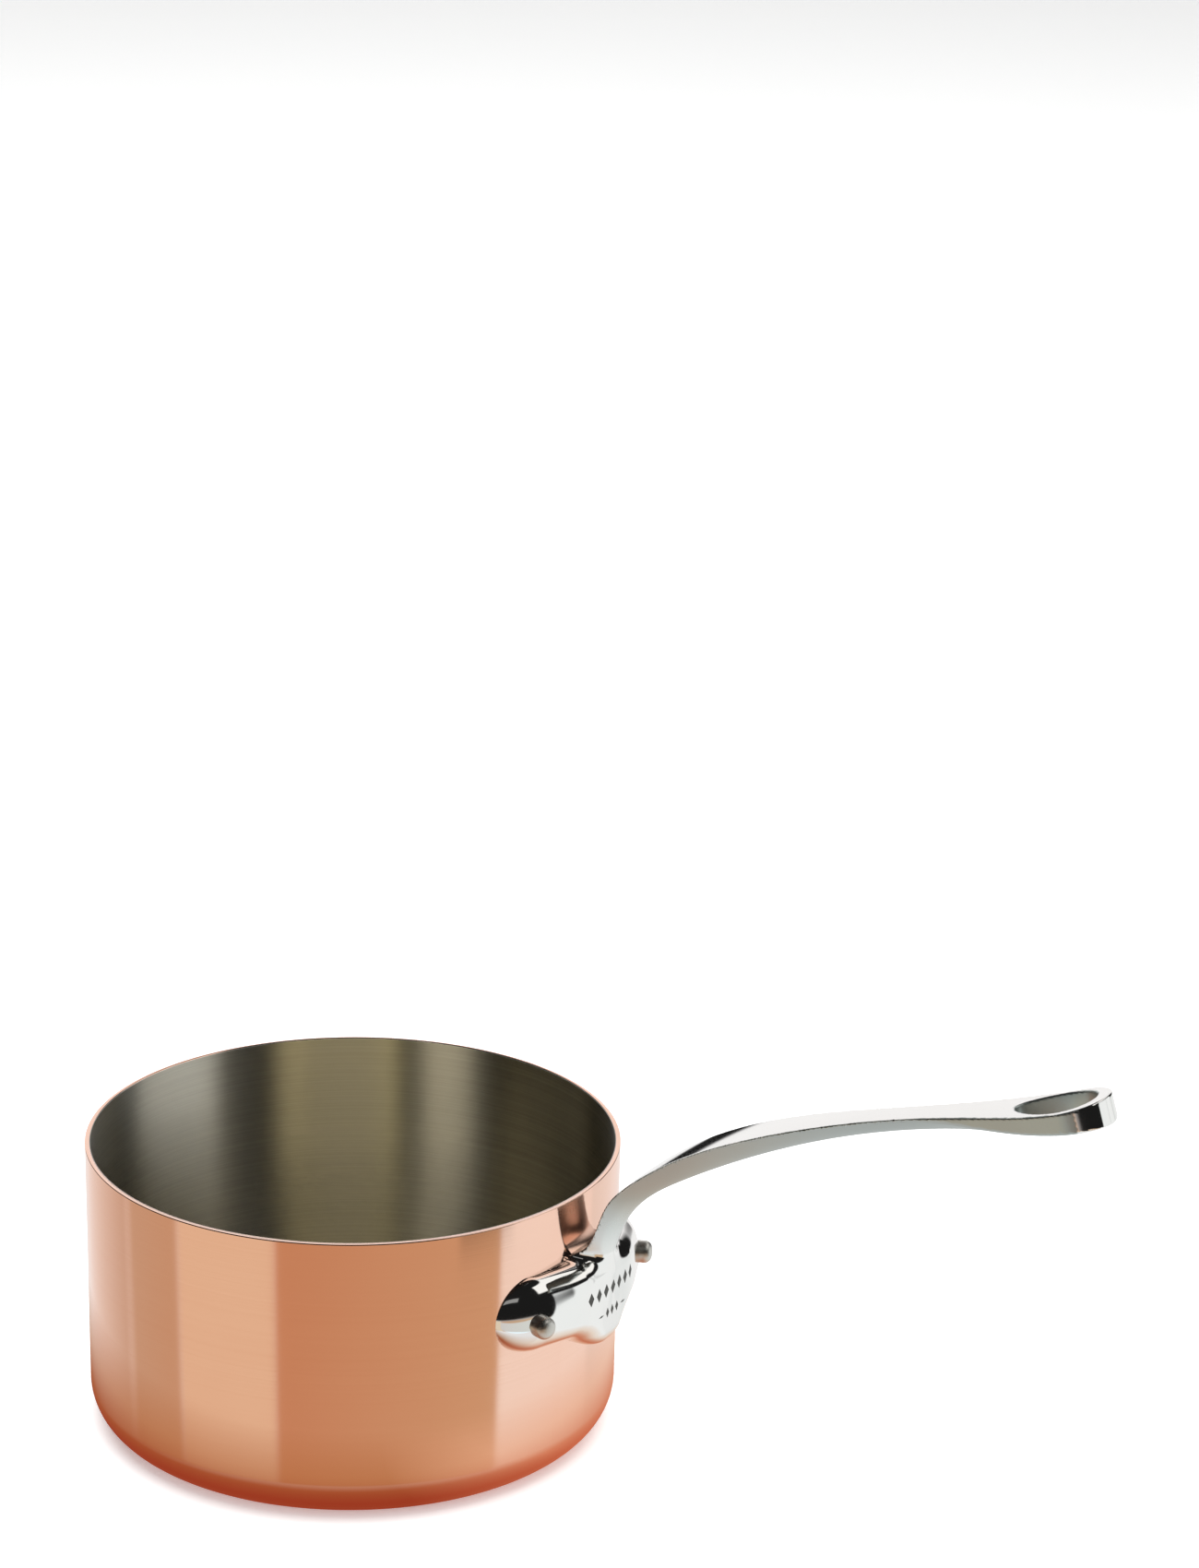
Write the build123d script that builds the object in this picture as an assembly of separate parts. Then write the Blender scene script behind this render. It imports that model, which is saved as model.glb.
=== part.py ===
"""Copper saucepan, 180 mm: copper shell, bonded steel lining, cast steel handle, two rivets.

Millimetres, +Z up. The origin is the centre of the base on the resting plane,
and the handle runs along +X. Each function makes one physical piece.
"""
from build123d import *
import os
from math import cos, hypot, pi, radians, sin, tan

# ---- pan: driving dimensions
rim_radius = 90.0
pan_height = 100.0
wall_lean = 0.47            # degrees that the wall leans out
copper_wall = 1.6
lining_wall = 0.2
base_corner_radius = 14.75
rim_edge_rounding = 0.3

# ---- handle plate: two wings along the wall, and a flat-faced shield between them
wing_face_radius = 98.3
wing_half_width = 42.4
wing_top = 79.0
wing_bottom = 53.6
wing_upper_corner = 14.0
wing_lower_corner = 11.0
wing_edge_rounding = 7.0
shield_face = 99.5          # distance of the flat face from the pan's axis
shield_half_width = 21.0
shield_shoulder = (22.5, 66.0)   # half width and height where the shield starts to narrow
shield_tip = (8.0, 45.5)
shield_corner = 7.0
shield_edge_rounding = 3.5

# ---- handle arm: stations from the plate to the tip, each a point on the flat top and the
# point under it on the keel, as (distance from the pan's axis, height), and a half width
arm_stations = [((88.0, 78.5), (96.0, 62.0), 10.8),
                ((93.8, 83.3), (100.8, 78.0), 10.9),
                ((97.4, 90.0), (103.6, 88.5), 10.9),
                ((101.5, 99.9), (107.6, 96.9), 10.9),
                ((109.3, 109.0), (114.0, 104.0), 10.9),
                ((124.0, 120.2), (128.3, 113.4), 11.2),
                ((148.0, 132.8), (151.3, 125.4), 10.7),
                ((184.0, 145.7), (185.9, 140.4), 7.9),
                ((220.0, 155.6), (221.5, 150.3), 9.0),
                ((250.0, 163.9), (252.0, 156.4), 25.0),
                ((272.0, 171.6), (274.4, 163.4), 30.0)]
keel_share = 0.69           # depth of a section half way out, as a share of its full depth

# ---- the arm seen square to the sloping loop at its end:
# (distance back from the tip, half width)
loop_slope = 17.0
loop_tip = (269.5, 170.9)   # far end of the loop's top face: distance from the axis, height
arm_half_widths = [(215.0, 10.0), (170.0, 10.3), (138.0, 10.6), (114.0, 9.2), (90.0, 7.3),
                   (76.0, 6.8), (62.0, 7.0), (50.0, 7.9), (38.0, 9.5), (26.0, 11.4)]
loop_radius = 12.7          # round end of the arm
hole_radius = 9.8           # big end of the egg-shaped hanging hole
hole_near_radius = 4.8
hole_far_end = 4.9
hole_near_end = 32.0

# ---- rivets
rivet_angle = 20.5          # each side of the handle's centre plane, about the pan's axis
rivet_height = 65.0
rivet_radius = 3.8
rivet_shoulder = 100.8      # distance from the pan's axis where the straight part ends
rivet_dome = 1.2
inner_head_radius = 5.5
inner_head_thickness = 2.2
inner_head_edge = 0.8

# ---- worked out
lean = radians(wall_lean)
above_everything = 300.0
corner_centre = (rim_radius - (pan_height - base_corner_radius * (1 - sin(lean))) * tan(lean)
                 - base_corner_radius * cos(lean), base_corner_radius)
wall_at_rivets = rim_radius - (pan_height - rivet_height) * tan(lean)
lining_at_rivets = wall_at_rivets - copper_wall - lining_wall


def pan_solid(depth, top):
    """The pan's outside moved inwards by depth, as a solid that reaches up to top."""
    corner = base_corner_radius - depth
    centre_x, centre_z = corner_centre
    start = (centre_x, depth)
    middle = (centre_x + corner * sin(pi / 4), centre_z - corner * cos(pi / 4))
    end = (centre_x + corner * cos(lean), centre_z - corner * sin(lean))
    top_radius = end[0] + (top - end[1]) * tan(lean)
    with BuildSketch(Plane.XZ) as section:
        with BuildLine():
            Line((0, depth), start)
            ThreePointArc(start, middle, end)
            Line(end, (top_radius, top))
            Line((top_radius, top), (0, top))
            Line((0, top), (0, depth))
        make_face()
    return revolve(section.sketch, Axis.Z)


def rivet_plane(side):
    """A plane on the pan's axis whose normal runs out through one rivet."""
    angle = radians(side * rivet_angle)
    return Plane(origin=(0, 0, rivet_height), x_dir=(0, 0, 1), z_dir=(cos(angle), sin(angle), 0))


def rivet_holes():
    """Two radial cylinders, the holes that the rivets fill."""
    drill = Solid.make_cylinder(rivet_radius, above_everything)
    return [drill.moved(rivet_plane(side).location) for side in (-1, 1)]


def copper_body():
    shell = pan_solid(0, pan_height) - pan_solid(copper_wall, above_everything)
    outer_lip = shell.edges().filter_by(GeomType.CIRCLE).filter_by_position(
        Axis.Z, pan_height - 0.01, pan_height + 0.01).sort_by(SortBy.RADIUS)[-1]
    return fillet(outer_lip, rim_edge_rounding) - rivet_holes()


def steel_lining():
    depth = copper_wall + lining_wall
    lining = pan_solid(copper_wall, pan_height) - pan_solid(depth, above_everything)
    return lining - rivet_holes()


def wings():
    """A band round the wall with large round corners and bulging edges."""
    facing_out = Plane(origin=(0, 0, 0), x_dir=(0, 1, 0), z_dir=(1, 0, 0))
    with BuildSketch(facing_out) as outline:
        with Locations((0, (wing_top + wing_bottom) / 2)):
            Rectangle(2 * wing_half_width, wing_top - wing_bottom)
        corners = outline.vertices().sort_by(Axis.Z)
        fillet(corners[:2], wing_lower_corner)
        fillet(corners[2:], wing_upper_corner)
    band = extrude(outline.sketch, wing_face_radius) & Cylinder(wing_face_radius, above_everything)
    face_edges = band.faces().filter_by(GeomType.CYLINDER).sort_by(Axis.X)[-1].outer_wire().edges()
    return fillet(face_edges, wing_edge_rounding)


def shield():
    """The middle of the plate: a flat face that narrows to a rounded tip below the wings."""
    facing_out = Plane(origin=(0, 0, 0), x_dir=(0, 1, 0), z_dir=(1, 0, 0))
    shoulder_width, shoulder_height = shield_shoulder
    tip_width, tip_height = shield_tip
    right = [(shield_half_width, wing_top), (shoulder_width, shoulder_height),
             (tip_width, tip_height)]
    left = [(-y, z) for y, z in reversed(right)]
    with BuildSketch(facing_out) as outline:
        with BuildLine():
            Polyline(*right, *left, close=True)
        make_face()
        fillet(outline.vertices(), shield_corner)
    block = extrude(outline.sketch, shield_face)
    face_edges = block.faces().sort_by(Axis.X)[-1].outer_wire().edges()
    return fillet(face_edges, shield_edge_rounding)


def arm_section(top, keel, half_width):
    """One section across the arm: flat on top, keeled underneath."""
    depth = hypot(top[0] - keel[0], top[1] - keel[1])
    down = ((keel[0] - top[0]) / depth, 0, (keel[1] - top[1]) / depth)
    across = Plane(origin=(top[0], 0, top[1]), x_dir=(0, 1, 0), z_dir=(down[2], 0, -down[0]))
    side = 1 if across.y_dir.Z < 0 else -1
    with BuildSketch(across) as section:
        with BuildLine():
            Line((-half_width, 0), (half_width, 0))
            Spline((half_width, 0), (half_width / 2, side * keel_share * depth), (0, side * depth),
                   (-half_width / 2, side * keel_share * depth), (-half_width, 0))
        make_face()
    return section.sketch


def arm_outline():
    """The arm seen square to its loop, with the egg-shaped hole."""
    with BuildSketch() as outline:
        with BuildLine():
            edge_points = [(-back, half_width) for back, half_width in arm_half_widths]
            edge = Spline(edge_points + [(-loop_radius, loop_radius)], tangents=[(1, 0), (1, 0)])
            mirror(edge, about=Plane.XZ)
            ThreePointArc((-loop_radius, loop_radius), (0, 0), (-loop_radius, -loop_radius))
            root_x, root_width = edge_points[0]
            Line((root_x, root_width), (root_x, -root_width))
        make_face()
        with BuildSketch(mode=Mode.SUBTRACT):
            with Locations((-hole_far_end - hole_radius, 0)):
                Circle(hole_radius)
            with Locations((-hole_near_end + hole_near_radius, 0)):
                Circle(hole_near_radius)
            make_hull()
    return outline.sketch


def arm():
    """Sections joined into one smooth bar, trimmed to the outline seen from above."""
    bar = loft([arm_section(*station) for station in arm_stations])
    tip_x, tip_z = loop_tip
    slope = radians(loop_slope)
    loop_plane = Plane(origin=(tip_x, 0, tip_z), x_dir=(cos(slope), 0, sin(slope)),
                       z_dir=(-sin(slope), 0, cos(slope)))
    return bar & extrude(loop_plane * arm_outline(), above_everything, both=True)


def handle():
    """One casting: wings, shield and arm, clear of the wall, drilled for the rivets."""
    casting = wings() + shield() + arm()
    casting = casting - pan_solid(0, above_everything)
    return casting - rivet_holes()


def domed_end(radius, base, rise):
    """A spherical cap on the height base; a negative rise makes it point down."""
    ball_radius = (radius ** 2 + rise ** 2) / (2 * abs(rise))
    ball_centre = base + rise - ball_radius * (1 if rise > 0 else -1)
    ball = Pos(0, 0, ball_centre) * Sphere(ball_radius)
    return ball & Pos(0, 0, base + rise / 2) * Cylinder(radius, abs(rise))


def rivet(side):
    """Shank with a domed end outside, and a low domed head formed against the lining."""
    head_face = lining_at_rivets - inner_head_edge
    shank_length = rivet_shoulder - head_face
    shank = Pos(0, 0, head_face + shank_length / 2) * Cylinder(rivet_radius, shank_length)
    rim_length = wall_at_rivets - head_face
    head_rim = Pos(0, 0, head_face + rim_length / 2) * Cylinder(inner_head_radius, rim_length)
    head = head_rim + domed_end(inner_head_radius, head_face,
                                inner_head_edge - inner_head_thickness)
    place = rivet_plane(side).location
    head = (place * head) & pan_solid(copper_wall + lining_wall, above_everything)
    return head + place * (shank + domed_end(rivet_radius, rivet_shoulder, rivet_dome))


def write(node, solid):
    """Write one piece as its own STEP file."""
    solid.label = node
    export_step(solid, f"parts/{node}.step")
    print(node, "volume mm3", round(solid.volume, 1), "valid", solid.is_valid)


os.makedirs("parts", exist_ok=True)
write("copper_body", copper_body())
write("steel_lining", steel_lining())
write("handle", handle())
write("rivet_left", rivet(-1))
write("rivet_right", rivet(1))
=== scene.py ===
"""Looks of the copper saucepan: spun copper body, brushed steel lining, cast steel handle, rivets.

Lengths are in millimetres until a mesh is made. The handle runs along +X, +Z is up, and the
origin is the centre of the base. The pan's main sizes are read from the CAD boxes, and the
other sizes follow the CAD model's. The handle's are a little finer here than the CAD's.
"""

from math import cos, hypot, pi, radians, sin, tan

import bpy
import numpy as np
from mathutils import Matrix, Vector


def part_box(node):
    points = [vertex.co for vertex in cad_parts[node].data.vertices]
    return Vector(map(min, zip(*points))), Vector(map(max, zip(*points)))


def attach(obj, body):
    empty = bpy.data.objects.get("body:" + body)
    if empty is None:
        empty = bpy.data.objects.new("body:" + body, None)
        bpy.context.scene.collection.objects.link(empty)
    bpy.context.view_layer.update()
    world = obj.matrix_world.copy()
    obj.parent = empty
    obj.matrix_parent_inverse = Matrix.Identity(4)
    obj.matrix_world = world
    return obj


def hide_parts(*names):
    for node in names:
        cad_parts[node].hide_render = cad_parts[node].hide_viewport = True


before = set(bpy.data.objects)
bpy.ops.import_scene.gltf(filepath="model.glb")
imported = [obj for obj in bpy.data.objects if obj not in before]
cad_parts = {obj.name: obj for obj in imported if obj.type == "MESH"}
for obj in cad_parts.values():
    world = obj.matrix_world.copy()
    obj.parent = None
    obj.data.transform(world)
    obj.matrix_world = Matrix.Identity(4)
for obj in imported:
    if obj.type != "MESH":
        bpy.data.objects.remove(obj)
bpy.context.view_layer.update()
MM = 0.001

# ---- pan
pan_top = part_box("copper_body")[1]
rim_radius = pan_top.x / MM
pan_height = pan_top.z / MM
copper_wall = rim_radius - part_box("steel_lining")[1].x / MM
lining_wall = 0.2
wall_lean = radians(0.47)           # how far the wall leans out
base_corner_radius = 14.75
rim_edge_rounding = 0.3
lining_lip_rounding = 0.08

# ---- handle plate
wing_face_radius = 98.3
ramp_angle = radians(20.0)          # from here inwards the face runs straight to the flat middle
wing_top = 79.0
wing_bottom = 53.6
wing_half_width = 42.4
wing_upper_corner = 14.2            # the two corners meet, so the wing's end is fully round
middle_rounding = 7.0               # how far in from its outline the middle reaches full thickness
rounding_span = (14.0, 34.0)        # half widths between which that turns into the wings' rounding
shield_face = 99.5
shield_half_width = 21.0
shield_shoulder = (22.5, 66.0)      # (half width, height) where the shield starts to narrow
shield_tip = (8.0, 45.5)
shield_corner = 7.0
ramp_blend = 2.7                    # how softly the ramps meet the flat middle
wing_blend = 6.0                    # fillet between the wings' outline and the shield's
root_blend = 6.0                    # fillet between the plate and the arm
let_in = 0.4                        # how far the casting's back reaches into the copper

# ---- handle arm, from the side: (distance from the pan's axis, height)
arm_top_line = [(88.0, 79.0), (94.0, 83.5), (97.4, 89.5), (101.5, 99.9), (109.3, 109.0),
                (124.0, 120.2), (148.0, 132.8), (184.0, 145.7), (220.0, 155.6), (250.0, 163.9),
                (269.5, 170.9)]
arm_underside = [(95.0, 66.0), (99.0, 78.0), (103.3, 90.3), (111.2, 101.2), (124.0, 110.5),
                 (148.0, 123.9), (184.0, 139.4), (220.0, 149.5), (244.0, 154.4), (262.0, 158.9),
                 (275.0, 163.4)]
# these three: (distance back from the loop's tip, value)
arm_half_width = [(13.0, 12.7), (26.0, 11.4), (38.0, 9.5), (50.0, 7.9), (62.0, 6.95), (76.0, 6.75),
                  (90.0, 7.3), (114.0, 9.2), (138.0, 10.6), (152.0, 10.6), (170.0, 10.3),
                  (215.0, 10.0)]
arm_crown = [(0.0, 0.1), (190.0, 0.22)]     # how far the middle of the top is raised
# how far out the underside's curve runs, in half widths
arm_keel_reach = [(0.0, 2.8), (26.0, 2.3), (50.0, 1.35), (90.0, 1.05), (130.0, 1.0), (215.0, 1.0)]
keel_power = 1.7                    # exponent of that curve
arm_edge = 0.6                      # rounding of the arm's edges
loop_tip = (269.5, 170.9)
loop_slope = radians(17.0)
loop_radius = 12.7
hole_ends = (4.9, 32.0)             # back from the loop's tip
hole_half_width = 9.8               # in its middle
hole_egg = 0.25                     # share by which the hole is wider at its far end
handle_step = 0.6                   # spacing of the grid that the handle's surface is found on

# ---- satin finish of the arm; its top and the loop's outer rim are polished
satin_foot = 1.0                    # it starts this far above the plate, and higher to the sides
satin_foot_rise = 0.02
satin_fade = 24.0                   # height over which it comes in
satin_least = 0.15                  # share of satin where it starts
top_facing = 0.93                   # what faces up less than this isn't the arm's top
root_reach = 106.0                  # nearer to the pan's axis than this, the top is satin too
polished_tip = 7.5                  # length of the polished outer rim, from the loop's tip
polished_rim = 1.0                  # and its depth

# ---- pattern on the flat face, instead of lettering: (width, height) of a mark
marks_height = 67.6
mark_count = 7
mark_pitch = 4.5
lozenge_size = (3.0, 5.0)
small_marks_height = 59.3
small_mark_pitch = 3.2
small_lozenge_size = (2.0, 3.6)
dash_size = (3.4, 0.7)
dash_offset = 7.4
mark_depth = 0.3
mark_rise = 0.03

# ---- rivets
rivet_angle = radians(20.5)
rivet_height = 65.0
rivet_radius = 3.8
rivet_end = 102.0
rivet_end_rounding = 2.4
rivet_end_crown = 0.16              # how much the middle of the outer end is domed
inner_head_radius = 5.5
inner_head_height = 2.2
inner_head_foot = 0.3               # both reach into the wall, so that no gap shows
inner_neck_foot = 0.6


# ------------------------------------------------------------------ lathe-turned pieces
def arc(centre, radius, start, end, steps):
    """Points on an arc, with angles in degrees."""
    angles = np.radians(np.linspace(start, end, steps + 1))
    return [(centre[0] + radius * cos(a), centre[1] + radius * sin(a)) for a in angles]


def run(start, end, margin=0.25):
    """A straight run with a support point close to each end, so that shading stays flat."""
    share = min(margin / hypot(end[0] - start[0], end[1] - start[1]), 0.3)
    return [(start[0] + (end[0] - start[0]) * s, start[1] + (end[1] - start[1]) * s)
            for s in (share, 1 - share)]


def lathe(name, outline, material, segments=256, place=Matrix()):
    """Turn an outline of (radius, height) points about Z; points on the axis become poles."""
    angles = np.linspace(0, 2 * pi, segments, endpoint=False)
    points, rings, faces = [], [], []
    for radius, height in outline:
        if radius < 1e-6:
            rings.append([len(points)] * segments)
            points.append((0, 0, height))
        else:
            rings.append(list(range(len(points), len(points) + segments)))
            points.extend((radius * cos(a), radius * sin(a), height) for a in angles)
    for lower, upper in zip(rings, rings[1:]):
        for i in range(segments):
            j = (i + 1) % segments
            corners = dict.fromkeys((lower[i], lower[j], upper[j], upper[i]))
            if len(corners) > 2:
                faces.append(tuple(corners))
    return piece(name, np.array(points), faces, material, place)


def mesh_object(name, points, faces, material):
    """A mesh object in the scene, from points in metres."""
    mesh = bpy.data.meshes.new(name)
    mesh.from_pydata(points, [], faces)
    mesh.materials.append(material)
    made = bpy.data.objects.new(name, mesh)
    bpy.context.scene.collection.objects.link(made)
    return made


def piece(name, points, faces, material, place=Matrix(), normals=None):
    """A smooth-shaded piece from points in millimetres, riding on the only body."""
    made = mesh_object(name, (np.asarray(points) * MM).tolist(), faces, material)
    made.data.transform(place)
    made.data.shade_smooth()
    if normals is not None:
        made.data.normals_split_custom_set_from_vertices(normals.tolist())
    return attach(made, "root")


# ------------------------------------------------------------------ curves and distance fields
class Curve:
    """Natural cubic spline through a few (x, y) points, straight beyond its ends."""
    def __init__(self, points):
        self.x, self.y = np.array(sorted(points), dtype=float).T
        self.gap = np.diff(self.x)
        slope = np.diff(self.y) / self.gap
        matrix = np.eye(len(self.x))
        right = np.zeros(len(self.x))
        for i in range(1, len(self.x) - 1):
            before, after = self.gap[i - 1], self.gap[i]
            matrix[i, i - 1:i + 2] = before, 2 * (before + after), after
            right[i] = 6 * (slope[i] - slope[i - 1])
        self.bend = np.linalg.solve(matrix, right)

    def __call__(self, x):
        """Value and slope at x."""
        i = np.clip(np.searchsorted(self.x, x) - 1, 0, len(self.gap) - 1)
        inside = np.clip(x, self.x[0], self.x[-1])
        t = inside - self.x[i]
        gap, bend, next_bend = self.gap[i], self.bend[i], self.bend[i + 1]
        start_slope = (self.y[i + 1] - self.y[i]) / gap - gap * (2 * bend + next_bend) / 6
        turn = (next_bend - bend) / gap
        slope = start_slope + t * (bend + t * turn / 2)
        value = self.y[i] + t * (start_slope + t * (bend / 2 + t * turn / 6))
        return value + slope * (x - inside), slope


def turned(points):
    """Side-view points in axes turned by 45 degrees, where both lines of the arm are graphs."""
    return [((x + z) / 2 ** 0.5, (z - x) / 2 ** 0.5) for x, z in points]


top_curve = Curve(turned(arm_top_line))
under_curve = Curve(turned(arm_underside))
width_curve = Curve(arm_half_width)
crown_curve = Curve(arm_crown)
reach_curve = Curve(arm_keel_reach)


def melt(a, b, size):
    """Union of two distance fields with a fillet of about that size."""
    share = np.clip(0.5 + 0.5 * (b - a) / size, 0, 1)
    return b * (1 - share) + a * share - size * share * (1 - share)


def common(a, b, rounding):
    """Common part of two distance fields that cross about squarely, with a rounded edge."""
    return np.minimum(np.maximum(a, b), -rounding) + np.hypot(np.maximum(a + rounding, 0),
                                                               np.maximum(b + rounding, 0))


def slope_of(field, points, reach=0.02):
    """Gradient of a field at points, by central differences."""
    slopes = np.empty_like(points)
    for axis in range(3):
        offset = np.zeros(3)
        offset[axis] = reach
        slopes[:, axis] = (field(*(points + offset).T) - field(*(points - offset).T)) / (2 * reach)
    return slopes


def corner_views(grid, cells):
    """For each of a cell's 8 corners, the part of a grid that holds that corner of every cell."""
    shifts = [(i, j, k) for i in (0, 1) for j in (0, 1) for k in (0, 1)]
    return [grid[tuple(slice(s, s + n) for s, n in zip(shift, cells))] for shift in shifts]


def refined(blocks, factor):
    """The same grid with every cell cut into that many along each axis."""
    for axis in range(3):
        blocks = blocks.repeat(factor, axis)
    return blocks


def inside_grid(field, low, cells, step, coarse):
    """Which points of a grid are inside: tested near the surface, and elsewhere on a coarse grid."""
    axes = [low[i] + step * np.arange(cells[i] + 1) for i in range(3)]
    rough = field(*np.meshgrid(*[axis[::coarse] for axis in axes], indexing="ij"))
    near = np.abs(rough) < coarse * step * 1.8
    blocks = refined(np.any(corner_views(near, cells // coarse), axis=0), coarse)
    wanted = np.zeros(cells + 1, bool)
    for view in corner_views(wanted, cells):
        view |= blocks
    values = np.ones(cells + 1)
    values[:-1, :-1, :-1] = refined(rough[:-1, :-1, :-1], coarse)
    values[wanted] = field(*(low + np.argwhere(wanted) * step).T)
    return values < 0


def quads_between(inside, number):
    """For each grid edge that leaves the solid, a quad through the four cells round that edge."""
    quads = []
    for axis in range(3):
        first, second = [slice(1, -1)] * 3, [slice(1, -1)] * 3
        first[axis], second[axis] = slice(0, -1), slice(1, None)
        starts, ends = inside[tuple(first)], inside[tuple(second)]
        base = np.argwhere(starts != ends)
        u, v = (axis + 1) % 3, (axis + 2) % 3
        base[:, [u, v]] += 1
        around = []
        for du, dv in ((-1, -1), (0, -1), (0, 0), (-1, 0)):
            cell = base.copy()
            cell[:, u] += du
            cell[:, v] += dv
            around.append(number[tuple(cell.T)])
        quad = np.stack(around, 1)
        flipped = ends[starts != ends]
        quad[flipped] = quad[flipped][:, ::-1]
        quads.append(quad)
    return np.concatenate(quads)


def settled(field, points, step):
    """Points moved onto the zero surface of a field, and the surface's normals there."""
    for _ in range(5):
        slopes = slope_of(field, points)
        move = (field(*points.T) / np.maximum((slopes ** 2).sum(1), 0.05))[:, None] * slopes
        length = np.maximum(np.linalg.norm(move, axis=1), 1e-9)[:, None]
        points = points - move * np.minimum(1, step / length)
    slopes = slope_of(field, points)
    return points, slopes / np.linalg.norm(slopes, axis=1)[:, None]


def surface_of(field, low, high, step, coarse=4):
    """Quads over the zero surface of a field: one point per grid cell that it crosses."""
    low = np.array(low, dtype=float)
    cells = np.ceil((np.array(high) - low) / step / coarse).astype(int) * coarse
    inside = inside_grid(field, low, cells, step, coarse)
    corners = sum(view.astype(int) for view in corner_views(inside, cells))
    crossed = (corners > 0) & (corners < 8)
    number = np.full(crossed.shape, -1)
    number[crossed] = np.arange(crossed.sum())
    points, normals = settled(field, low + (np.argwhere(crossed) + 0.5) * step, step)
    return points, quads_between(inside, number), normals


# ------------------------------------------------------------------ handle: a smooth solid from formulas
def wall_radius(z):
    """Outer radius of the pan's wall at a height."""
    return rim_radius - (pan_height - z) * tan(wall_lean)


def face_field(x, y):
    """In front of the plate's face: flat in the middle, then a straight ramp, then round the pan."""
    ramp = x * cos(ramp_angle) + np.abs(y) * sin(ramp_angle) - wing_face_radius
    ramp = -melt(-ramp, shield_face - x, ramp_blend)
    on_wing = np.arctan2(np.abs(y), x) > ramp_angle
    return np.where(on_wing, np.hypot(x, y) - wing_face_radius, ramp)


def wing_corner(z):
    """Corner radius of the wings' round ends above and below their widest height."""
    lower_corner = wing_top - wing_bottom - wing_upper_corner
    return np.where(z > wing_top - wing_upper_corner, wing_upper_corner, lower_corner)


def wing_outline(y, z):
    """Both wings seen from the front: a band with fully round ends."""
    corner = wing_corner(z)
    across = np.abs(y) - wing_half_width + corner
    up = np.abs(z - wing_top + wing_upper_corner)
    return np.where(across > 0, np.hypot(np.maximum(across, 0), up), up) - corner


def shield_outline(y, z):
    """The middle of the plate seen from the front: it narrows to a rounded tip below the wings."""
    run_y = shield_shoulder[0] - shield_tip[0]
    run_z = shield_shoulder[1] - shield_tip[1]
    slanted = (np.abs(y) - shield_shoulder[0]) * run_z - (z - shield_shoulder[1]) * run_y
    slanted = slanted / hypot(run_y, run_z)
    sides = -melt(-slanted, shield_half_width - np.abs(y), shield_corner)
    return np.maximum(common(sides, shield_tip[1] - z, shield_corner), z - wing_top + wing_blend)


def plate_field(x, y, z):
    """The plate, domed from its outline up to its face: quickly in the middle, slowly on the wings."""
    outline = melt(wing_outline(y, z), shield_outline(y, z), wing_blend)
    share = np.interp(np.abs(y), rounding_span, (0.0, 1.0))
    rounding = middle_rounding + (wing_corner(z) - middle_rounding) * share
    thickness = wing_face_radius - wall_radius(z)
    inward = np.maximum(1 + outline / rounding, 0)
    outward = np.maximum(1 + face_field(x, y) / thickness, 0)
    return (np.hypot(inward, outward) - 1) * thickness


def back_from_tip(x, z):
    """Distance back from the loop's tip, along the slope of the loop."""
    return (loop_tip[0] - x) * cos(loop_slope) + (loop_tip[1] - z) * sin(loop_slope)


def hole_field(back, y):
    """The egg-shaped hanging hole, seen square to the loop."""
    middle, half_length = sum(hole_ends) / 2, (hole_ends[1] - hole_ends[0]) / 2
    lengthwise = (middle - back) / half_length
    crosswise = y / (hole_half_width * (1 + hole_egg * np.clip(lengthwise, -1.5, 1.5)))
    return (np.hypot(lengthwise, crosswise) - 1) * hole_half_width


def arm_field(x, y, z):
    """The arm: flat-topped, keeled underneath, with a round end and the hole in it."""
    along = (x + z) / 2 ** 0.5
    height = (z - x) / 2 ** 0.5
    back = back_from_tip(x, z)
    half_width = np.maximum(width_curve(back)[0], 1.0)
    top, top_slope = top_curve(along)
    under, under_slope = under_curve(along)
    crown = np.maximum(crown_curve(back)[0], 0) * (1 - np.clip(y / half_width, -1, 1) ** 2)
    above = (height - top - crown) / np.sqrt(1 + top_slope ** 2)
    reach = half_width * np.maximum(reach_curve(back)[0], 1.0)
    rise = np.maximum(top - under, 1.0) * np.minimum(np.abs(y) / reach, 2.0) ** keel_power
    side_slope = keel_power * rise / np.maximum(np.abs(y), 0.5)
    below = (under + rise - height) / np.sqrt(1 + under_slope ** 2 + side_slope ** 2)
    round_end = np.hypot(loop_radius - back, y) - loop_radius
    side = np.where(back < loop_radius, round_end, np.abs(y) - half_width)
    body = common(np.maximum(above, below), np.maximum(side, -hole_field(back, y)), arm_edge)
    return np.maximum(body, shield_shoulder[1] - z)


def handle_field(x, y, z):
    """The whole casting; its back is let a little into the copper, so that no gap shows."""
    casting = melt(plate_field(x, y, z), arm_field(x, y, z), root_blend)
    return np.maximum(casting, wall_radius(z) - let_in - np.hypot(x, y))


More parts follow.
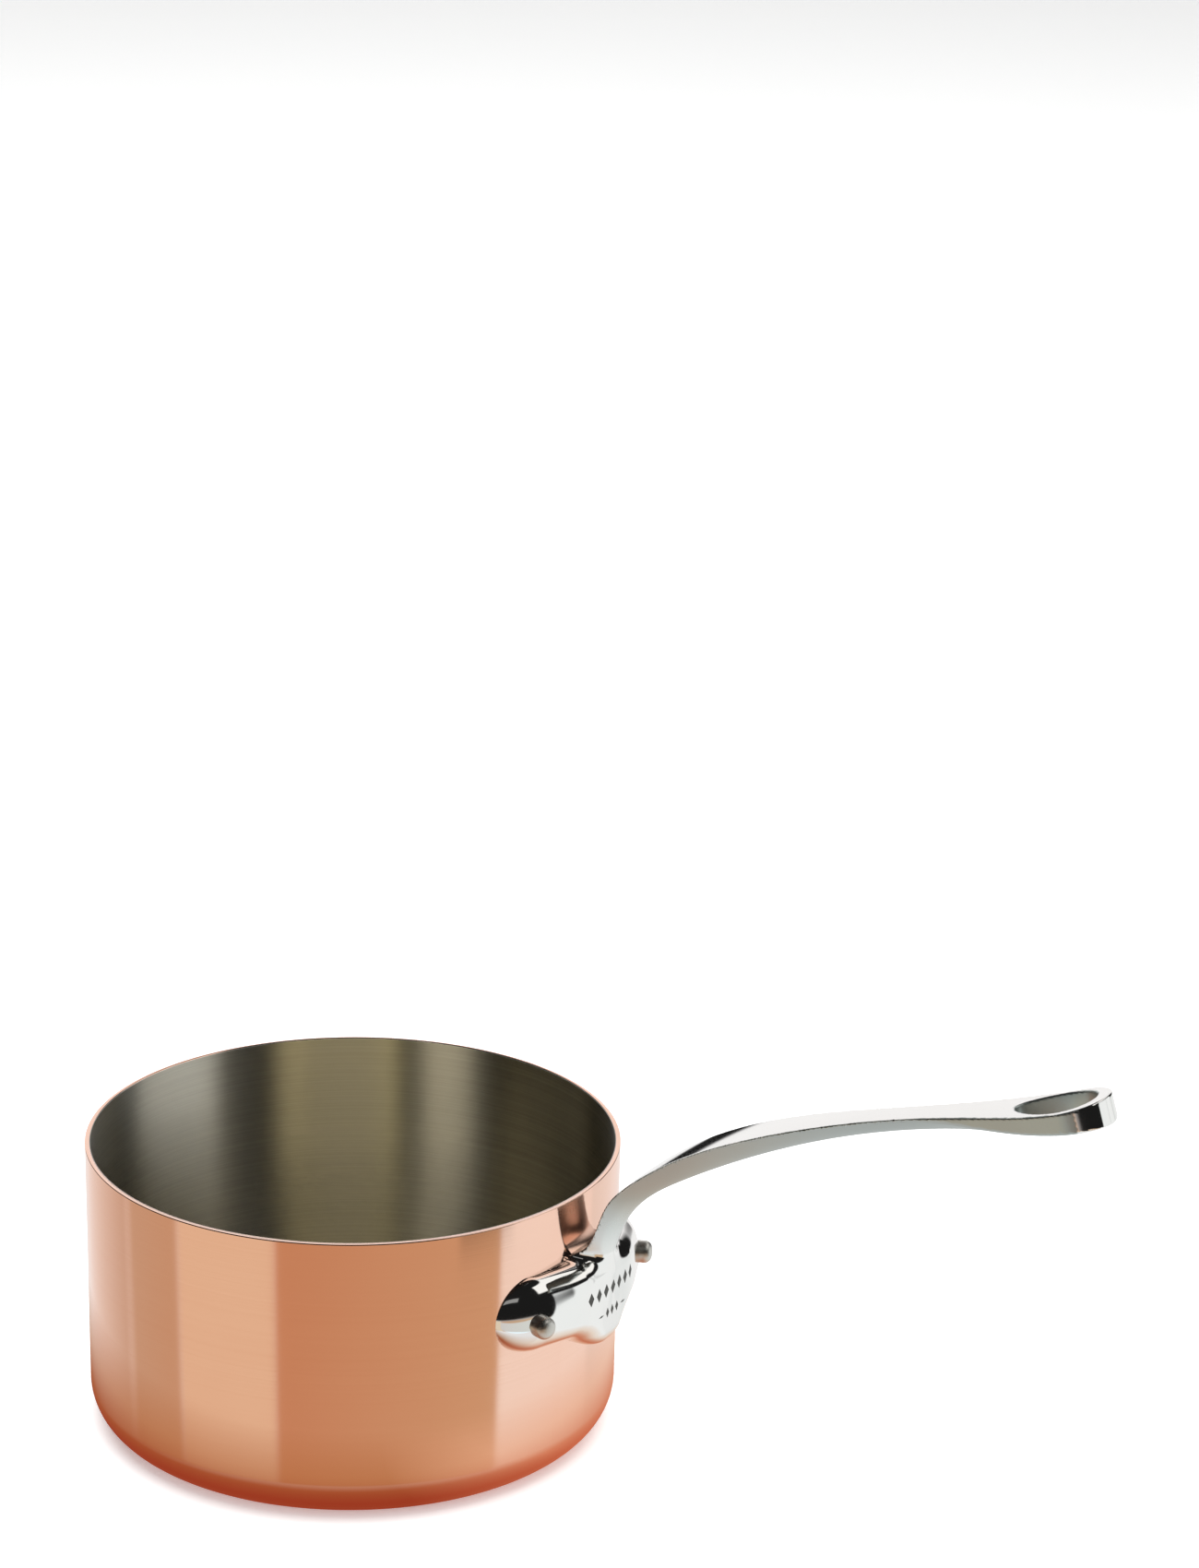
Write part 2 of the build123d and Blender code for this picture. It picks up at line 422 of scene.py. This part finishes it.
# ------------------------------------------------------------------ materials
class Nodes:
    """Short calls for building a material's or the world's node tree."""
    def __init__(self, tree):
        self.tree = tree
        tree.nodes.clear()

    def add(self, kind, inputs=None, **settings):
        node = self.tree.nodes.new(kind)
        for name, value in settings.items():
            setattr(node, name, value)
        for name, value in (inputs or {}).items():
            if isinstance(value, bpy.types.NodeSocket):
                self.tree.links.new(value, node.inputs[name])
            else:
                node.inputs[name].default_value = value
        return node

    def place(self):
        return self.add("ShaderNodeTexCoord").outputs["Object"]

    def math(self, operation, a, b=0.0):
        return self.add("ShaderNodeMath", {0: a, 1: b}, operation=operation).outputs[0]

    def noise(self, vector, scale, detail=3.0, roughness=0.5):
        return self.add("ShaderNodeTexNoise", {"Vector": vector, "Scale": scale, "Detail": detail,
                                               "Roughness": roughness}).outputs["Fac"]

    def stretched(self, vector, factors):
        return self.add("ShaderNodeMapping", {"Vector": vector, "Scale": factors}).outputs[0]

    def blend(self, share, a, b):
        return self.add("ShaderNodeMix", {0: share, 6: a, 7: b}, data_type="RGBA").outputs[2]

    def between(self, value, low, high, to_low, to_high):
        return self.add("ShaderNodeMapRange", {"Value": value, "From Min": low, "From Max": high,
                                               "To Min": to_low, "To Max": to_high}).outputs[0]


def new_material(name):
    material = bpy.data.materials.new(name)
    material.use_nodes = True
    return material, Nodes(material.node_tree)


def polar(nodes, place, angle_scale):
    """Coordinates that run round the pan, out from its axis and up it, for turned marks."""
    axes = nodes.add("ShaderNodeSeparateXYZ", {0: place}).outputs
    angle = nodes.math("ARCTAN2", axes[1], axes[0])
    radius = nodes.math("SQRT", nodes.math("ADD", nodes.math("MULTIPLY", axes[0], axes[0]),
                                           nodes.math("MULTIPLY", axes[1], axes[1])))
    return nodes.add("ShaderNodeCombineXYZ", {0: nodes.math("MULTIPLY", angle, angle_scale),
                                              1: radius, 2: axes[2]}).outputs[0]


def shade(nodes, inputs, height, bump, tangent=None):
    """Principled metal with a bump, joined to the output."""
    inputs["Normal"] = nodes.add("ShaderNodeBump", {"Strength": bump, "Distance": 0.0001,
                                                    "Height": height}).outputs[0]
    if tangent is not None:
        inputs["Tangent"] = tangent
    surface = nodes.add("ShaderNodeBsdfPrincipled", {"Metallic": 1.0, **inputs})
    nodes.add("ShaderNodeOutputMaterial", {"Surface": surface.outputs[0]})


def copper():
    """Polished copper with faint turned polishing lines and slow changes of tone."""
    material, nodes = new_material("polished_copper")
    place = nodes.place()
    turning = polar(nodes, place, 0.02)
    lines = nodes.noise(nodes.stretched(turning, (6.0, 1500.0, 2600.0)), 1.0, 4.0, 0.6)
    cloud = nodes.noise(place, 18.0)
    tone = nodes.blend(nodes.between(cloud, 0.3, 0.7, 0.0, 1.0),
                       (0.92, 0.59, 0.465, 1), (0.94, 0.62, 0.495, 1))
    tone = nodes.blend(nodes.between(lines, 0.35, 0.65, 0.0, 0.3), tone, (0.90, 0.55, 0.42, 1))
    rough = nodes.math("ADD", nodes.between(lines, 0.3, 0.7, 0.06, 0.11),
                       nodes.between(cloud, 0.3, 0.7, 0.0, 0.02))
    shade(nodes, {"Base Color": tone, "Roughness": rough}, lines, 0.03)
    return material


def brushed_steel():
    """Lining steel: fine lines running round the wall and the floor, which smear light across them."""
    material, nodes = new_material("brushed_lining_steel")
    turning = polar(nodes, nodes.place(), 0.02)
    fine = nodes.noise(nodes.stretched(turning, (14.0, 2600.0, 2600.0)), 1.0, 5.0, 0.65)
    broad = nodes.noise(nodes.stretched(turning, (5.0, 420.0, 420.0)), 1.0, 2.0, 0.5)
    lines = nodes.math("ADD", nodes.math("MULTIPLY", fine, 0.8), nodes.math("MULTIPLY", broad, 0.2))
    tone = nodes.blend(nodes.between(lines, 0.35, 0.65, 0.0, 1.0),
                       (0.31, 0.30, 0.275, 1), (0.40, 0.39, 0.36, 1))
    rough = nodes.between(lines, 0.3, 0.7, 0.37, 0.28)
    around = nodes.add("ShaderNodeTangent", direction_type="RADIAL", axis="Z").outputs[0]
    shade(nodes, {"Base Color": tone, "Roughness": rough, "Anisotropic": 0.95,
                  "Anisotropic Rotation": 0.25}, lines, 0.12, around)
    return material


def handle_steel():
    """Cast steel: mirror-polished plate and top, satin where the mesh's satin attribute says."""
    material, nodes = new_material("handle_steel")
    place = nodes.place()
    satin = nodes.add("ShaderNodeAttribute", attribute_name="satin").outputs["Fac"]
    grain = nodes.noise(place, 1900.0, 3.0, 0.6)
    cloud = nodes.noise(place, 60.0)
    polished = nodes.blend(cloud, (0.84, 0.82, 0.80, 1), (0.88, 0.855, 0.835, 1))
    dull = nodes.blend(grain, (0.435, 0.475, 0.46, 1), (0.50, 0.55, 0.535, 1))
    dull_rough = nodes.math("MULTIPLY", satin, nodes.between(grain, 0.3, 0.7, 0.26, 0.36))
    rough = nodes.math("ADD", nodes.between(cloud, 0.3, 0.7, 0.05, 0.085), dull_rough)
    height = nodes.math("MULTIPLY", grain, satin)
    shade(nodes, {"Base Color": nodes.blend(satin, polished, dull), "Roughness": rough}, height, 0.10)
    return material


def rivet_steel():
    """Satin steel, a little warmer and darker than the handle's plate."""
    material, nodes = new_material("rivet_steel")
    grain = nodes.noise(nodes.place(), 1500.0, 4.0, 0.6)
    tone = nodes.blend(grain, (0.55, 0.53, 0.49, 1), (0.72, 0.70, 0.66, 1))
    rough = nodes.between(grain, 0.3, 0.7, 0.34, 0.46)
    shade(nodes, {"Base Color": tone, "Roughness": rough}, grain, 0.12)
    return material


def mark_steel():
    """The dull dark steel of the marks on the plate."""
    material, nodes = new_material("mark_steel")
    grain = nodes.noise(nodes.place(), 2500.0, 3.0, 0.6)
    tone = nodes.blend(grain, (0.10, 0.10, 0.095, 1), (0.17, 0.165, 0.155, 1))
    rough = nodes.between(grain, 0.3, 0.7, 0.5, 0.65)
    shade(nodes, {"Base Color": tone, "Roughness": rough}, grain, 0.1)
    return material


# ------------------------------------------------------------------ pan
def pan_profile(depth):
    """The pan's outline moved inwards by depth, from the middle of the base to the rim."""
    foot_height = base_corner_radius - base_corner_radius * sin(wall_lean)
    centre_radius = wall_radius(foot_height) - base_corner_radius * cos(wall_lean)
    radius = base_corner_radius - depth
    corner = arc((centre_radius, base_corner_radius), radius, -90, -np.degrees(wall_lean), 24)
    foot = corner[-1]
    rim = (foot[0] + (pan_height - foot[1]) * tan(wall_lean), pan_height)
    return [(0.0, depth), *run((0.0, depth), corner[0]), *corner, *run(foot, rim)], rim


def make_pan():
    """The copper body with its rounded rim, and the lining inside it with a small round lip."""
    outside, outer_rim = pan_profile(0.0)
    between, middle_rim = pan_profile(copper_wall)
    inside, inner_rim = pan_profile(copper_wall + lining_wall)
    edge = rim_edge_rounding
    outer_edge = arc((outer_rim[0] - edge, pan_height - edge), edge, 0, 90, 6)
    top = run(outer_edge[-1], middle_rim, 0.05)
    body_outline = outside[:-1] + outer_edge + top + between[::-1]
    body = lathe("copper_body_turned", body_outline, copper())
    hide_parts("copper_body")
    edge = lining_lip_rounding
    lip = arc((inner_rim[0] + edge, pan_height - edge), edge, 90, 180, 4)
    lining_outline = between + [middle_rim] + lip + inside[:-1][::-1]
    lining = lathe("steel_lining_turned", lining_outline, brushed_steel())
    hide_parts("steel_lining")


# ------------------------------------------------------------------ handle, its marks and rivets
def satin_share(points, normals):
    """How satin the handle is at each of its points: 0 on the plate and the arm's top, up to 1."""
    x, y, z = points.T
    top_slope = top_curve((x + z) / 2 ** 0.5)[1]
    facing_up = normals[:, 2] * (1 - top_slope) - normals[:, 0] * (1 + top_slope)
    facing_up = facing_up / np.sqrt(2 + 2 * top_slope ** 2)
    back = back_from_tip(x, z)
    on_arm = z > wing_top + satin_foot + satin_foot_rise * y ** 2
    within_loop = np.hypot(loop_radius - back, y) < loop_radius - polished_rim
    dull_side = (facing_up < top_facing) & ((back > polished_tip) | within_loop)
    dull = on_arm & (dull_side | (x < root_reach))
    return dull * np.interp(z, (wing_top, wing_top + satin_fade), (satin_least, 1.0))


def make_handle():
    """The casting, found in a box a little larger than the CAD handle's."""
    low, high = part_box("handle")
    margin = 3.0
    start = (low.x / MM - margin, -wing_half_width - margin, low.z / MM - 2 * margin)
    end = (high.x / MM + margin, wing_half_width + margin, high.z / MM + 2 * margin)
    points, quads, normals = surface_of(handle_field, start, end, handle_step)
    handle = piece("handle_casting", points, quads.tolist(), handle_steel(), normals=normals)
    satin = satin_share(points, normals).astype(np.float32)
    handle.data.attributes.new("satin", "FLOAT", "POINT").data.foreach_set("value", satin)
    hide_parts("handle")


def face_at(y, z):
    """Distance of the plate's face from the pan's axis, measured along X, by halving."""
    low, high = np.full(len(y), shield_face - 6.0), np.full(len(y), shield_face + 3.0)
    for _ in range(24):
        middle = (low + high) / 2
        inside = handle_field(middle, y, z) < 0
        low, high = np.where(inside, middle, low), np.where(inside, high, middle)
    return low


def make_marks():
    """A plain pattern of lozenges and dashes let into the flat face, as thin four-sided studs."""
    shapes = [(mark_pitch * (i - (mark_count - 1) / 2), marks_height, *lozenge_size)
              for i in range(mark_count)]
    shapes += [(small_mark_pitch * i, small_marks_height, *small_lozenge_size) for i in (-1, 0, 1)]
    shapes += [(side * dash_offset, small_marks_height, *dash_size) for side in (-1, 1)]
    points, faces = [], []
    for y, z, wide, tall in shapes:
        outline = np.array([(y - wide / 2, z), (y, z - tall / 2), (y + wide / 2, z), (y, z + tall / 2)])
        face = face_at(*outline.T)
        start = len(points)
        for depth in (-mark_depth, mark_rise):
            points += [(x + depth, *corner) for x, corner in zip(face, outline)]
        back, front = [start + i for i in range(4)], [start + 4 + i for i in range(4)]
        faces += [tuple(back[::-1]), tuple(front)]
        faces += [(back[i], back[(i + 1) % 4], front[(i + 1) % 4], front[i]) for i in range(4)]
    marks = piece("handle_marks", points, faces, mark_steel())
    marks.data.shade_flat()
    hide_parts("handle")


def make_rivet(name, side, material):
    """One rivet, turned about its own axis: a low domed head inside, a rounded end outside."""
    inner = wall_radius(rivet_height) - copper_wall - lining_wall
    ball = (inner_head_radius ** 2 + inner_head_height ** 2) / (2 * inner_head_height)
    spread = np.degrees(np.arcsin(inner_head_radius / ball))
    head = arc((0.0, inner - inner_head_height + ball), ball, -90, -90 + spread, 10)
    neck = (rivet_radius, inner + inner_neck_foot)
    shoulder = (rivet_radius, rivet_end - rivet_end_rounding)
    end = arc((rivet_radius - rivet_end_rounding, shoulder[1]), rivet_end_rounding, 0, 80, 9)
    end_radius, end_height = end[-1]
    crown = [(end_radius * share, end_height + rivet_end_crown * (1 - share ** 2))
             for share in (0.8, 0.55, 0.3, 0.0)]
    foot = (inner_head_radius, inner + inner_head_foot)
    outline = head + [foot, neck] + run(neck, shoulder) + end + crown
    place = (Matrix.Rotation(side * rivet_angle, 4, "Z")
             @ Matrix.Translation((0, 0, rivet_height * MM))
             @ Matrix.Rotation(pi / 2, 4, "Y"))
    rivet = lathe(name + "_turned", outline, material, 64, place)
    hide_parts(name)


make_pan()
make_handle()
make_marks()
rivet_look = rivet_steel()
make_rivet("rivet_left", -1, rivet_look)
make_rivet("rivet_right", 1, rivet_look)


# ------------------------------------------------------------------ floor and the painted shade at the pan's foot
# lengths from here on are in metres
camera_bearing = 31.0               # where the camera stands: degrees from -Y towards +X
floor_reach = 12.0
floor_drop = 0.0002                 # below the pan's base, like the shade's
shade_radius = 0.165
shade_drop = 0.0001
shade_colour_radii = (0.087, 0.123)   # from the inner colour to the outer
shade_fade_radii = (0.100, 0.160)     # from opaque to clear
shade_bright_reach = (0.02, 0.08)     # from the dim side to the bright one, on the camera's right


def make_floor():
    """A wide pale sheet under the pan, which reflections in the metal don't see."""
    material, nodes = new_material("studio_floor")
    tone = nodes.add("ShaderNodeBsdfPrincipled", {"Base Color": (0.92, 0.92, 0.92, 1),
                                                  "Roughness": 0.8, "Specular IOR Level": 0.1,
                                                  "Emission Color": (1, 1, 1, 1),
                                                  "Emission Strength": 0.35})
    nodes.add("ShaderNodeOutputMaterial", {"Surface": tone.outputs[0]})
    corners = [(x * floor_reach, y * floor_reach, -floor_drop)
               for x, y in ((-1, -1), (1, -1), (1, 1), (-1, 1))]
    floor = mesh_object("studio_floor", corners, [(0, 1, 2, 3)], material)
    floor.visible_glossy = False


def foot_shade_look():
    """Painted reflection of the shaded table at the pan's foot: a dim copper-lit glow that fades out,
    brighter on the camera's right.
    """
    material, nodes = new_material("foot_shade")
    place = nodes.place()
    radius = nodes.add("ShaderNodeVectorMath", {0: place}, operation="LENGTH").outputs["Value"]
    camera_right = (cos(radians(camera_bearing)), sin(radians(camera_bearing)), 0.0)
    towards = nodes.add("ShaderNodeVectorMath", {0: place, 1: camera_right},
                        operation="DOT_PRODUCT").outputs["Value"]
    bright = nodes.between(towards, *shade_bright_reach, 0.0, 1.0)
    # painted shade and painted reflection: dark red near the pan, lighter further out, and brighter on
    # the camera's right
    inner = nodes.blend(bright, (0.36, 0.07, 0.033, 1), (0.62, 0.19, 0.10, 1))
    outer = nodes.blend(bright, (0.50, 0.25, 0.105, 1), (0.85, 0.62, 0.45, 1))
    warm = nodes.blend(nodes.between(radius, *shade_colour_radii, 0.0, 1.0), inner, outer)
    dim = nodes.add("ShaderNodeEmission", {"Color": warm}).outputs[0]
    clear = nodes.add("ShaderNodeBsdfTransparent").outputs[0]
    share = nodes.between(radius, *shade_fade_radii, 0.0, 1.0)
    mixed = nodes.add("ShaderNodeMixShader", {0: share, 1: dim, 2: clear})
    nodes.add("ShaderNodeOutputMaterial", {"Surface": mixed.outputs[0]})
    return material


def make_foot_shade():
    """A glowing disc right under the pan that only reflections see: a painted reflection of the dim,
    copper-lit table in shade at the pan's foot.
    """
    count = 64
    angles = [2 * pi * i / count for i in range(count)]
    rim = [(shade_radius * cos(a), shade_radius * sin(a), -shade_drop) for a in angles]
    disc = mesh_object("foot_shade", rim, [tuple(range(count))], foot_shade_look())
    disc.visible_camera = False
    disc.visible_diffuse = False
    disc.visible_shadow = False


# ------------------------------------------------------------------ light
# Studio panels, as directions in degrees seen from the pan. Azimuth 0 is where the camera stands,
# positive to its right. (from, to) azimuth, (from, to) elevation, softness, colours at its two
# sides; later ones stand in front.
dark = (0.012, 0.012, 0.012)
panels = [
    ((-150, 150), (-8, 100), 6, dark, dark),
    ((150, 210), (40, 100), 10, (0.05, 0.05, 0.05), (0.05, 0.05, 0.05)),
    ((-158, -110), (-32, -8), 8, (0.95, 0.95, 0.95), (0.62, 0.50, 0.40)),
    ((-110, -78), (-32, -8), 6, (0.61, 0.48, 0.36), (0.61, 0.44, 0.30)),
    ((-78, -33), (-32, -8), 2, (0.81, 0.69, 0.53), (0.81, 0.69, 0.53)),
    ((-33, 65), (-32, -8), 3, (0.60, 0.345, 0.205), (0.65, 0.48, 0.31)),
    ((65, 100), (-100, 20), 3, (0.95, 1.0, 1.0), (0.965, 1.0, 1.0)),
    ((100, 122), (-100, 20), 3, (0.97, 1.01, 1.01), (0.95, 0.98, 0.98)),
    ((122, 152), (-100, -8), 3, (0.86, 0.90, 0.90), (0.95, 0.97, 0.97)),
    ((45, 70), (-17, 35), 3, dark, dark),
    ((50, 140), (33, 62), 3, (1.08, 1.08, 1.05), (1.08, 1.08, 1.05)),
    ((180, 194), (-12, -4.5), 1.5, (0.01, 0.01, 0.01), (0.01, 0.01, 0.01)),
]
# strips that light the lining: (from, to) azimuth, (from, to) height, radiance
lining_strips = [
    (64, 110, 0.25, 1.0, (4.4, 4.35, 4.05)),
    (-56, -33, 0.4, 2.9, (4.3, 3.8, 2.7)),
    (-18, 36, 0.4, 2.9, (2.6, 2.2, 1.35)),
    (24, 33, 0.4, 2.9, (1.5, 1.2, 0.5)),
    (-21, -14, 0.4, 2.9, (2.4, 2.0, 0.9)),
]
# strips that light the handle: behind the pan for its underside and top, in front for its top as
# seen from behind, and low in front, to grey the tan panel where the wings mirror it
handle_strips = [
    (-150, -100, 0.5, 1.7, (0.9, 0.88, 0.86)),
    (-52, 4, 1.1, 1.6, (0.3, 0.3, 0.295)),
    (-30, 40, -0.94, -0.25, (0.10, 0.33, 0.45)),
]
strip_distance = 1.5                # from the pan's axis


def panel_over(nodes, colour, panel, azimuth, elevation):
    """The world's colour with one panel in front of it."""
    (left, right), (low, high), soft, left_tint, right_tint = panel
    turn = nodes.math("SUBTRACT", azimuth, (left + right) / 2)
    turn = nodes.add("ShaderNodeMath", {0: turn, 1: 180.0, 2: -180.0}, operation="WRAP").outputs[0]
    width, height = (right - left) / 2, (high - low) / 2
    tint = nodes.blend(nodes.between(turn, -width, width, 0.0, 1.0), (*left_tint, 1), (*right_tint, 1))
    aside = nodes.math("ABSOLUTE", turn)
    climb = nodes.math("ABSOLUTE", nodes.math("SUBTRACT", elevation, (low + high) / 2))
    across = nodes.between(aside, width - soft / 2, width + soft / 2, 1.0, 0.0)
    up = nodes.between(climb, height - soft / 2, height + soft / 2, 1.0, 0.0)
    return nodes.blend(nodes.math("MULTIPLY", across, up), colour, tint)


def make_world():
    """A pale sky with the studio panels in it; what the camera itself sees is plain and white."""
    world = bpy.data.worlds.new("studio")
    bpy.context.scene.world = world
    world.use_nodes = True
    nodes = Nodes(world.node_tree)
    direction = nodes.add("ShaderNodeTexCoord").outputs["Generated"]
    axes = nodes.add("ShaderNodeSeparateXYZ", {0: direction}).outputs
    to_degrees = 180 / pi
    bearing = nodes.math("ARCTAN2", axes[0], nodes.math("MULTIPLY", axes[1], -1.0))
    azimuth = nodes.math("SUBTRACT", nodes.math("MULTIPLY", bearing, to_degrees), camera_bearing)
    elevation = nodes.math("MULTIPLY", nodes.math("ARCSINE", axes[2]), to_degrees)
    sky = nodes.between(elevation, -90, 0, 0.75, 1.0)
    colour = nodes.add("ShaderNodeCombineColor", {0: sky, 1: sky, 2: sky}).outputs[0]
    for panel in panels:
        colour = panel_over(nodes, colour, panel, azimuth, elevation)
    from_camera = nodes.add("ShaderNodeLightPath").outputs["Is Camera Ray"]
    colour = nodes.blend(from_camera, colour, (0.97, 0.97, 0.97, 1))
    shown = nodes.add("ShaderNodeBackground", {"Color": colour, "Strength": 1.0})
    nodes.add("ShaderNodeOutputWorld", {"Surface": shown.outputs[0]})


def area_lamp(name, shape, position, facing, watts):
    """An area light that faces along a direction; its size is set by the caller."""
    light = bpy.data.lights.new(name, "AREA")
    light.shape = shape
    light.energy = watts
    lamp = bpy.data.objects.new(name, light)
    lamp.location = position
    lamp.rotation_euler = facing.to_track_quat("-Z", "Y").to_euler()
    bpy.context.scene.collection.objects.link(lamp)
    return lamp


def soft_light(name, position, size, watts):
    """A soft round light that faces the pan and that no reflection shows."""
    lamp = area_lamp(name, "DISK", position, Vector((0, 0, 0)) - Vector(position), watts)
    lamp.data.size = size
    lamp.visible_glossy = False


def strip_light(name, strip, lit):
    """An upright strip that lights only what is in one collection."""
    left, right, low, high, colour = strip
    middle = radians(camera_bearing + (left + right) / 2)
    width = 2 * strip_distance * tan(radians(right - left) / 2)
    position = (strip_distance * sin(middle), -strip_distance * cos(middle), (low + high) / 2)
    facing = Vector((-sin(middle), cos(middle), 0))
    lamp = area_lamp(name, "RECTANGLE", position, facing, pi * width * (high - low))
    lamp.data.size = width
    lamp.data.size_y = high - low
    lamp.data.color = colour
    lamp.light_linking.receiver_collection = lit


def light_one_piece(name, strips):
    """Strips of light for one piece; the brushed lining smears its own into upright bands."""
    lit = bpy.data.collections.new("lit_" + name)
    lit.objects.link(bpy.data.objects[name])
    for number, strip in enumerate(strips):
        strip_light(f"{name}_strip_{number}", strip, lit)


# ------------------------------------------------------------------ camera
camera_position = Vector((0.7501, -1.2483, 0.7126))
camera_aim = Vector((0.04175, 0.09357, 0.20511))
camera_roll = radians(1.068)


def make_camera():
    """A long lens, 1.6 m away, turned a little off the pan."""
    data = bpy.data.cameras.new("camera")
    data.sensor_fit = "VERTICAL"
    data.sensor_height = 36.0
    data.lens = 107.32
    camera = bpy.data.objects.new("camera", data)
    turn = (camera_aim - camera_position).to_track_quat("-Z", "Y").to_matrix()
    turn = turn @ Matrix.Rotation(camera_roll, 3, "Z")
    camera.matrix_world = Matrix.LocRotScale(camera_position, turn, None)
    bpy.context.scene.collection.objects.link(camera)
    bpy.context.scene.camera = camera


make_floor()
make_foot_shade()
make_world()
soft_light("overhead_softbox", (0.0, 0.0, 2.6), 3.6, 105)
soft_light("front_softbox", (0.9, -1.5, 1.6), 2.0, 25)
light_one_piece("steel_lining_turned", lining_strips)
light_one_piece("handle_casting", handle_strips)
make_camera()
bpy.context.scene.view_settings.view_transform = "Standard"
